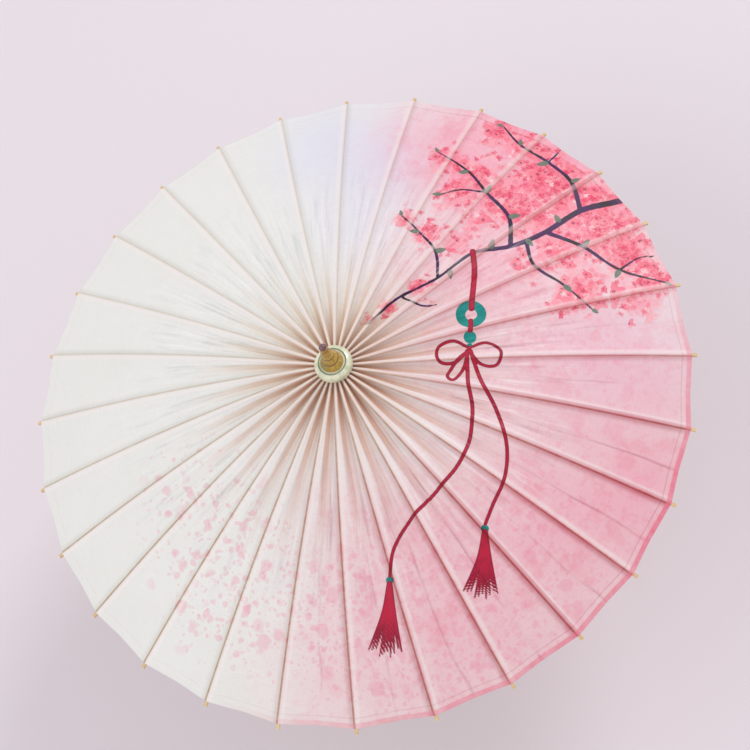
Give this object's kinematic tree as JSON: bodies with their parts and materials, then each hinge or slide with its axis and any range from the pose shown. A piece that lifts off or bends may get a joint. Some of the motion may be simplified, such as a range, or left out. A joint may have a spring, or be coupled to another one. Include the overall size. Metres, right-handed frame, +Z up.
{
  "type": "oil paper umbrella",
  "caption": "Open oil paper umbrella with a pleated painted canopy on bowed bamboo ribs, a sliding runner, a turned spire and a wooden grip.",
  "frame": {"origin": "centre of the hand grip, on the pole's axis", "axes": "+Z up the pole towards the spire; +X along the first long rib"},
  "size_m": [0.8406, 0.8406, 0.5914],
  "materials": {
    "oiled_paper": "oiled, satin, hand painted",
    "bamboo": "scraped and oiled",
    "rib_bamboo": "split bamboo, oiled",
    "dark_wood": "turned and lacquered",
    "pale_wood": "turned, bare",
    "lacquered_wood": "pale lacquer, glossy",
    "golden_wood": "golden lacquer, glossy",
    "spring_steel": "bare"
  },
  "bodies": {
    "root": {"canopy": "oiled_paper", "pole": "bamboo", "handle": "dark_wood", "top_hub": "pale_wood", "collar": "lacquered_wood", "spire": "golden_wood"},
    "runner": {"runner": "pale_wood"},
    "catch": {"catch": "spring_steel"},
    "long_rib_01": {"long_rib_01": "rib_bamboo"},
    "long_rib_02": {"long_rib_02": "rib_bamboo"},
    "long_rib_03": {"long_rib_03": "rib_bamboo"},
    "long_rib_04": {"long_rib_04": "rib_bamboo"},
    "long_rib_05": {"long_rib_05": "rib_bamboo"},
    "long_rib_06": {"long_rib_06": "rib_bamboo"},
    "long_rib_07": {"long_rib_07": "rib_bamboo"},
    "long_rib_08": {"long_rib_08": "rib_bamboo"},
    "long_rib_09": {"long_rib_09": "rib_bamboo"},
    "long_rib_10": {"long_rib_10": "rib_bamboo"},
    "long_rib_11": {"long_rib_11": "rib_bamboo"},
    "long_rib_12": {"long_rib_12": "rib_bamboo"},
    "long_rib_13": {"long_rib_13": "rib_bamboo"},
    "long_rib_14": {"long_rib_14": "rib_bamboo"},
    "long_rib_15": {"long_rib_15": "rib_bamboo"},
    "long_rib_16": {"long_rib_16": "rib_bamboo"},
    "long_rib_17": {"long_rib_17": "rib_bamboo"},
    "long_rib_18": {"long_rib_18": "rib_bamboo"},
    "long_rib_19": {"long_rib_19": "rib_bamboo"},
    "long_rib_20": {"long_rib_20": "rib_bamboo"},
    "long_rib_21": {"long_rib_21": "rib_bamboo"},
    "long_rib_22": {"long_rib_22": "rib_bamboo"},
    "long_rib_23": {"long_rib_23": "rib_bamboo"},
    "long_rib_24": {"long_rib_24": "rib_bamboo"},
    "long_rib_25": {"long_rib_25": "rib_bamboo"},
    "long_rib_26": {"long_rib_26": "rib_bamboo"},
    "long_rib_27": {"long_rib_27": "rib_bamboo"},
    "long_rib_28": {"long_rib_28": "rib_bamboo"},
    "short_rib_01": {"short_rib_01": "rib_bamboo"},
    "short_rib_02": {"short_rib_02": "rib_bamboo"},
    "short_rib_03": {"short_rib_03": "rib_bamboo"},
    "short_rib_04": {"short_rib_04": "rib_bamboo"},
    "short_rib_05": {"short_rib_05": "rib_bamboo"},
    "short_rib_06": {"short_rib_06": "rib_bamboo"},
    "short_rib_08": {"short_rib_08": "rib_bamboo"},
    "short_rib_09": {"short_rib_09": "rib_bamboo"},
    "short_rib_10": {"short_rib_10": "rib_bamboo"},
    "short_rib_11": {"short_rib_11": "rib_bamboo"},
    "short_rib_12": {"short_rib_12": "rib_bamboo"},
    "short_rib_13": {"short_rib_13": "rib_bamboo"},
    "short_rib_15": {"short_rib_15": "rib_bamboo"},
    "short_rib_16": {"short_rib_16": "rib_bamboo"},
    "short_rib_17": {"short_rib_17": "rib_bamboo"},
    "short_rib_18": {"short_rib_18": "rib_bamboo"},
    "short_rib_19": {"short_rib_19": "rib_bamboo"},
    "short_rib_20": {"short_rib_20": "rib_bamboo"},
    "short_rib_22": {"short_rib_22": "rib_bamboo"},
    "short_rib_23": {"short_rib_23": "rib_bamboo"},
    "short_rib_24": {"short_rib_24": "rib_bamboo"},
    "short_rib_25": {"short_rib_25": "rib_bamboo"},
    "short_rib_26": {"short_rib_26": "rib_bamboo"},
    "short_rib_27": {"short_rib_27": "rib_bamboo"}
  },
  "joints": [
    {"name": "runner_slide", "type": "slide", "parent": "root", "child": "runner", "axis": [0, 0, -1], "range_m": [0, 0.34875], "deforming": ["canopy"]},
    {"name": "catch_press", "type": "slide", "parent": "root", "child": "catch", "axis": [-1, 0, 0], "range_m": [0, 0.0026], "stiffness_N_per_m": 500},
    {"name": "long_rib_01_hinge", "type": "hinge", "parent": "root", "child": "long_rib_01", "pos_m": [0.014, 0, 0.486], "axis": [0, 1, 0], "range_deg": [0, 76.44]},
    {"name": "long_rib_02_hinge", "type": "hinge", "parent": "root", "child": "long_rib_02", "pos_m": [0.01365, 0.00312, 0.486], "axis": [-0.2225, 0.9749, 0], "range_deg": [0, 76.44]},
    {"name": "long_rib_03_hinge", "type": "hinge", "parent": "root", "child": "long_rib_03", "pos_m": [0.01261, 0.00607, 0.486], "axis": [-0.4339, 0.901, 0], "range_deg": [0, 76.44]},
    {"name": "long_rib_04_hinge", "type": "hinge", "parent": "root", "child": "long_rib_04", "pos_m": [0.01095, 0.00873, 0.486], "axis": [-0.6235, 0.7818, 0], "range_deg": [0, 76.44]},
    {"name": "long_rib_05_hinge", "type": "hinge", "parent": "root", "child": "long_rib_05", "pos_m": [0.00873, 0.01095, 0.486], "axis": [-0.7818, 0.6235, 0], "range_deg": [0, 76.44]},
    {"name": "long_rib_06_hinge", "type": "hinge", "parent": "root", "child": "long_rib_06", "pos_m": [0.00607, 0.01261, 0.486], "axis": [-0.901, 0.4339, 0], "range_deg": [0, 76.44]},
    {"name": "long_rib_07_hinge", "type": "hinge", "parent": "root", "child": "long_rib_07", "pos_m": [0.00312, 0.01365, 0.486], "axis": [-0.9749, 0.2225, 0], "range_deg": [0, 76.44]},
    {"name": "long_rib_08_hinge", "type": "hinge", "parent": "root", "child": "long_rib_08", "pos_m": [0, 0.014, 0.486], "axis": [-1, 0, 0], "range_deg": [0, 76.44]},
    {"name": "long_rib_09_hinge", "type": "hinge", "parent": "root", "child": "long_rib_09", "pos_m": [-0.00312, 0.01365, 0.486], "axis": [-0.9749, -0.2225, 0], "range_deg": [0, 76.44]},
    {"name": "long_rib_10_hinge", "type": "hinge", "parent": "root", "child": "long_rib_10", "pos_m": [-0.00607, 0.01261, 0.486], "axis": [-0.901, -0.4339, 0], "range_deg": [0, 76.44]},
    {"name": "long_rib_11_hinge", "type": "hinge", "parent": "root", "child": "long_rib_11", "pos_m": [-0.00873, 0.01095, 0.486], "axis": [-0.7818, -0.6235, 0], "range_deg": [0, 76.44]},
    {"name": "long_rib_12_hinge", "type": "hinge", "parent": "root", "child": "long_rib_12", "pos_m": [-0.01095, 0.00873, 0.486], "axis": [-0.6235, -0.7818, 0], "range_deg": [0, 76.44]},
    {"name": "long_rib_13_hinge", "type": "hinge", "parent": "root", "child": "long_rib_13", "pos_m": [-0.01261, 0.00607, 0.486], "axis": [-0.4339, -0.901, 0], "range_deg": [0, 76.44]},
    {"name": "long_rib_14_hinge", "type": "hinge", "parent": "root", "child": "long_rib_14", "pos_m": [-0.01365, 0.00312, 0.486], "axis": [-0.2225, -0.9749, 0], "range_deg": [0, 76.44]},
    {"name": "long_rib_15_hinge", "type": "hinge", "parent": "root", "child": "long_rib_15", "pos_m": [-0.014, 0, 0.486], "axis": [0, -1, 0], "range_deg": [0, 76.44]},
    {"name": "long_rib_16_hinge", "type": "hinge", "parent": "root", "child": "long_rib_16", "pos_m": [-0.01365, -0.00312, 0.486], "axis": [0.2225, -0.9749, 0], "range_deg": [0, 76.44]},
    {"name": "long_rib_17_hinge", "type": "hinge", "parent": "root", "child": "long_rib_17", "pos_m": [-0.01261, -0.00607, 0.486], "axis": [0.4339, -0.901, 0], "range_deg": [0, 76.44]},
    {"name": "long_rib_18_hinge", "type": "hinge", "parent": "root", "child": "long_rib_18", "pos_m": [-0.01095, -0.00873, 0.486], "axis": [0.6235, -0.7818, 0], "range_deg": [0, 76.44]},
    {"name": "long_rib_19_hinge", "type": "hinge", "parent": "root", "child": "long_rib_19", "pos_m": [-0.00873, -0.01095, 0.486], "axis": [0.7818, -0.6235, 0], "range_deg": [0, 76.44]},
    {"name": "long_rib_20_hinge", "type": "hinge", "parent": "root", "child": "long_rib_20", "pos_m": [-0.00607, -0.01261, 0.486], "axis": [0.901, -0.4339, 0], "range_deg": [0, 76.44]},
    {"name": "long_rib_21_hinge", "type": "hinge", "parent": "root", "child": "long_rib_21", "pos_m": [-0.00312, -0.01365, 0.486], "axis": [0.9749, -0.2225, 0], "range_deg": [0, 76.44]},
    {"name": "long_rib_22_hinge", "type": "hinge", "parent": "root", "child": "long_rib_22", "pos_m": [0, -0.014, 0.486], "axis": [1, 0, 0], "range_deg": [0, 76.44]},
    {"name": "long_rib_23_hinge", "type": "hinge", "parent": "root", "child": "long_rib_23", "pos_m": [0.00312, -0.01365, 0.486], "axis": [0.9749, 0.2225, 0], "range_deg": [0, 76.44]},
    {"name": "long_rib_24_hinge", "type": "hinge", "parent": "root", "child": "long_rib_24", "pos_m": [0.00607, -0.01261, 0.486], "axis": [0.901, 0.4339, 0], "range_deg": [0, 76.44]},
    {"name": "long_rib_25_hinge", "type": "hinge", "parent": "root", "child": "long_rib_25", "pos_m": [0.00873, -0.01095, 0.486], "axis": [0.7818, 0.6235, 0], "range_deg": [0, 76.44]},
    {"name": "long_rib_26_hinge", "type": "hinge", "parent": "root", "child": "long_rib_26", "pos_m": [0.01095, -0.00873, 0.486], "axis": [0.6235, 0.7818, 0], "range_deg": [0, 76.44]},
    {"name": "long_rib_27_hinge", "type": "hinge", "parent": "root", "child": "long_rib_27", "pos_m": [0.01261, -0.00607, 0.486], "axis": [0.4339, 0.901, 0], "range_deg": [0, 76.44]},
    {"name": "long_rib_28_hinge", "type": "hinge", "parent": "root", "child": "long_rib_28", "pos_m": [0.01365, -0.00312, 0.486], "axis": [0.2225, 0.9749, 0], "range_deg": [0, 76.44]},
    {"name": "short_rib_01_hinge", "type": "hinge", "parent": "long_rib_01", "child": "short_rib_01", "pos_m": [0.21708, 0, 0.45591], "axis": [0, 1, 0], "range_deg": [-152.87, 0]},
    {"name": "short_rib_02_hinge", "type": "hinge", "parent": "long_rib_02", "child": "short_rib_02", "pos_m": [0.21163, 0.0483, 0.45591], "axis": [-0.2225, 0.9749, 0], "range_deg": [-152.87, 0]},
    {"name": "short_rib_03_hinge", "type": "hinge", "parent": "long_rib_03", "child": "short_rib_03", "pos_m": [0.19558, 0.09419, 0.45591], "axis": [-0.4339, 0.901, 0], "range_deg": [-152.87, 0]},
    {"name": "short_rib_04_hinge", "type": "hinge", "parent": "long_rib_04", "child": "short_rib_04", "pos_m": [0.16972, 0.13535, 0.45591], "axis": [-0.6235, 0.7818, 0], "range_deg": [-152.87, 0]},
    {"name": "short_rib_05_hinge", "type": "hinge", "parent": "long_rib_05", "child": "short_rib_05", "pos_m": [0.13535, 0.16972, 0.45591], "axis": [-0.7818, 0.6235, 0], "range_deg": [-152.87, 0]},
    {"name": "short_rib_06_hinge", "type": "hinge", "parent": "long_rib_06", "child": "short_rib_06", "pos_m": [0.09419, 0.19558, 0.45591], "axis": [-0.901, 0.4339, 0], "range_deg": [-152.87, 0]},
    {"name": "short_rib_08_hinge", "type": "hinge", "parent": "long_rib_08", "child": "short_rib_08", "pos_m": [0, 0.21708, 0.45591], "axis": [-1, 0, 0], "range_deg": [-152.87, 0]},
    {"name": "short_rib_09_hinge", "type": "hinge", "parent": "long_rib_09", "child": "short_rib_09", "pos_m": [-0.0483, 0.21163, 0.45591], "axis": [-0.9749, -0.2225, 0], "range_deg": [-152.87, 0]},
    {"name": "short_rib_10_hinge", "type": "hinge", "parent": "long_rib_10", "child": "short_rib_10", "pos_m": [-0.09419, 0.19558, 0.45591], "axis": [-0.901, -0.4339, 0], "range_deg": [-152.87, 0]},
    {"name": "short_rib_11_hinge", "type": "hinge", "parent": "long_rib_11", "child": "short_rib_11", "pos_m": [-0.13535, 0.16972, 0.45591], "axis": [-0.7818, -0.6235, 0], "range_deg": [-152.87, 0]},
    {"name": "short_rib_12_hinge", "type": "hinge", "parent": "long_rib_12", "child": "short_rib_12", "pos_m": [-0.16972, 0.13535, 0.45591], "axis": [-0.6235, -0.7818, 0], "range_deg": [-152.87, 0]},
    {"name": "short_rib_13_hinge", "type": "hinge", "parent": "long_rib_13", "child": "short_rib_13", "pos_m": [-0.19558, 0.09419, 0.45591], "axis": [-0.4339, -0.901, 0], "range_deg": [-152.87, 0]},
    {"name": "short_rib_15_hinge", "type": "hinge", "parent": "long_rib_15", "child": "short_rib_15", "pos_m": [-0.21708, 0, 0.45591], "axis": [0, -1, 0], "range_deg": [-152.87, 0]},
    {"name": "short_rib_16_hinge", "type": "hinge", "parent": "long_rib_16", "child": "short_rib_16", "pos_m": [-0.21163, -0.0483, 0.45591], "axis": [0.2225, -0.9749, 0], "range_deg": [-152.87, 0]},
    {"name": "short_rib_17_hinge", "type": "hinge", "parent": "long_rib_17", "child": "short_rib_17", "pos_m": [-0.19558, -0.09419, 0.45591], "axis": [0.4339, -0.901, 0], "range_deg": [-152.87, 0]},
    {"name": "short_rib_18_hinge", "type": "hinge", "parent": "long_rib_18", "child": "short_rib_18", "pos_m": [-0.16972, -0.13535, 0.45591], "axis": [0.6235, -0.7818, 0], "range_deg": [-152.87, 0]},
    {"name": "short_rib_19_hinge", "type": "hinge", "parent": "long_rib_19", "child": "short_rib_19", "pos_m": [-0.13535, -0.16972, 0.45591], "axis": [0.7818, -0.6235, 0], "range_deg": [-152.87, 0]},
    {"name": "short_rib_20_hinge", "type": "hinge", "parent": "long_rib_20", "child": "short_rib_20", "pos_m": [-0.09419, -0.19558, 0.45591], "axis": [0.901, -0.4339, 0], "range_deg": [-152.87, 0]},
    {"name": "short_rib_22_hinge", "type": "hinge", "parent": "long_rib_22", "child": "short_rib_22", "pos_m": [0, -0.21708, 0.45591], "axis": [1, 0, 0], "range_deg": [-152.87, 0]},
    {"name": "short_rib_23_hinge", "type": "hinge", "parent": "long_rib_23", "child": "short_rib_23", "pos_m": [0.0483, -0.21163, 0.45591], "axis": [0.9749, 0.2225, 0], "range_deg": [-152.87, 0]},
    {"name": "short_rib_24_hinge", "type": "hinge", "parent": "long_rib_24", "child": "short_rib_24", "pos_m": [0.09419, -0.19558, 0.45591], "axis": [0.901, 0.4339, 0], "range_deg": [-152.87, 0]},
    {"name": "short_rib_25_hinge", "type": "hinge", "parent": "long_rib_25", "child": "short_rib_25", "pos_m": [0.13535, -0.16972, 0.45591], "axis": [0.7818, 0.6235, 0], "range_deg": [-152.87, 0]},
    {"name": "short_rib_26_hinge", "type": "hinge", "parent": "long_rib_26", "child": "short_rib_26", "pos_m": [0.16972, -0.13535, 0.45591], "axis": [0.6235, 0.7818, 0], "range_deg": [-152.87, 0]},
    {"name": "short_rib_27_hinge", "type": "hinge", "parent": "long_rib_27", "child": "short_rib_27", "pos_m": [0.19558, -0.09419, 0.45591], "axis": [0.4339, 0.901, 0], "range_deg": [-152.87, 0]}
  ],
  "couplings": [
    {"joint": "long_rib_01_hinge", "follows": "runner_slide", "rad_per_m": 3.8247},
    {"joint": "long_rib_02_hinge", "follows": "runner_slide", "rad_per_m": 3.8247},
    {"joint": "long_rib_03_hinge", "follows": "runner_slide", "rad_per_m": 3.8247},
    {"joint": "long_rib_04_hinge", "follows": "runner_slide", "rad_per_m": 3.8247},
    {"joint": "long_rib_05_hinge", "follows": "runner_slide", "rad_per_m": 3.8247},
    {"joint": "long_rib_06_hinge", "follows": "runner_slide", "rad_per_m": 3.8247},
    {"joint": "long_rib_07_hinge", "follows": "runner_slide", "rad_per_m": 3.8247},
    {"joint": "long_rib_08_hinge", "follows": "runner_slide", "rad_per_m": 3.8247},
    {"joint": "long_rib_09_hinge", "follows": "runner_slide", "rad_per_m": 3.8247},
    {"joint": "long_rib_10_hinge", "follows": "runner_slide", "rad_per_m": 3.8247},
    {"joint": "long_rib_11_hinge", "follows": "runner_slide", "rad_per_m": 3.8247},
    {"joint": "long_rib_12_hinge", "follows": "runner_slide", "rad_per_m": 3.8247},
    {"joint": "long_rib_13_hinge", "follows": "runner_slide", "rad_per_m": 3.8247},
    {"joint": "long_rib_14_hinge", "follows": "runner_slide", "rad_per_m": 3.8247},
    {"joint": "long_rib_15_hinge", "follows": "runner_slide", "rad_per_m": 3.8247},
    {"joint": "long_rib_16_hinge", "follows": "runner_slide", "rad_per_m": 3.8247},
    {"joint": "long_rib_17_hinge", "follows": "runner_slide", "rad_per_m": 3.8247},
    {"joint": "long_rib_18_hinge", "follows": "runner_slide", "rad_per_m": 3.8247},
    {"joint": "long_rib_19_hinge", "follows": "runner_slide", "rad_per_m": 3.8247},
    {"joint": "long_rib_20_hinge", "follows": "runner_slide", "rad_per_m": 3.8247},
    {"joint": "long_rib_21_hinge", "follows": "runner_slide", "rad_per_m": 3.8247},
    {"joint": "long_rib_22_hinge", "follows": "runner_slide", "rad_per_m": 3.8247},
    {"joint": "long_rib_23_hinge", "follows": "runner_slide", "rad_per_m": 3.8247},
    {"joint": "long_rib_24_hinge", "follows": "runner_slide", "rad_per_m": 3.8247},
    {"joint": "long_rib_25_hinge", "follows": "runner_slide", "rad_per_m": 3.8247},
    {"joint": "long_rib_26_hinge", "follows": "runner_slide", "rad_per_m": 3.8247},
    {"joint": "long_rib_27_hinge", "follows": "runner_slide", "rad_per_m": 3.8247},
    {"joint": "long_rib_28_hinge", "follows": "runner_slide", "rad_per_m": 3.8247},
    {"joint": "short_rib_01_hinge", "follows": "runner_slide", "rad_per_m": -7.6494},
    {"joint": "short_rib_02_hinge", "follows": "runner_slide", "rad_per_m": -7.6494},
    {"joint": "short_rib_03_hinge", "follows": "runner_slide", "rad_per_m": -7.6494},
    {"joint": "short_rib_04_hinge", "follows": "runner_slide", "rad_per_m": -7.6494},
    {"joint": "short_rib_05_hinge", "follows": "runner_slide", "rad_per_m": -7.6494},
    {"joint": "short_rib_06_hinge", "follows": "runner_slide", "rad_per_m": -7.6494},
    {"joint": "short_rib_08_hinge", "follows": "runner_slide", "rad_per_m": -7.6494},
    {"joint": "short_rib_09_hinge", "follows": "runner_slide", "rad_per_m": -7.6494},
    {"joint": "short_rib_10_hinge", "follows": "runner_slide", "rad_per_m": -7.6494},
    {"joint": "short_rib_11_hinge", "follows": "runner_slide", "rad_per_m": -7.6494},
    {"joint": "short_rib_12_hinge", "follows": "runner_slide", "rad_per_m": -7.6494},
    {"joint": "short_rib_13_hinge", "follows": "runner_slide", "rad_per_m": -7.6494},
    {"joint": "short_rib_15_hinge", "follows": "runner_slide", "rad_per_m": -7.6494},
    {"joint": "short_rib_16_hinge", "follows": "runner_slide", "rad_per_m": -7.6494},
    {"joint": "short_rib_17_hinge", "follows": "runner_slide", "rad_per_m": -7.6494},
    {"joint": "short_rib_18_hinge", "follows": "runner_slide", "rad_per_m": -7.6494},
    {"joint": "short_rib_19_hinge", "follows": "runner_slide", "rad_per_m": -7.6494},
    {"joint": "short_rib_20_hinge", "follows": "runner_slide", "rad_per_m": -7.6494},
    {"joint": "short_rib_22_hinge", "follows": "runner_slide", "rad_per_m": -7.6494},
    {"joint": "short_rib_23_hinge", "follows": "runner_slide", "rad_per_m": -7.6494},
    {"joint": "short_rib_24_hinge", "follows": "runner_slide", "rad_per_m": -7.6494},
    {"joint": "short_rib_25_hinge", "follows": "runner_slide", "rad_per_m": -7.6494},
    {"joint": "short_rib_26_hinge", "follows": "runner_slide", "rad_per_m": -7.6494},
    {"joint": "short_rib_27_hinge", "follows": "runner_slide", "rad_per_m": -7.6494}
  ]
}
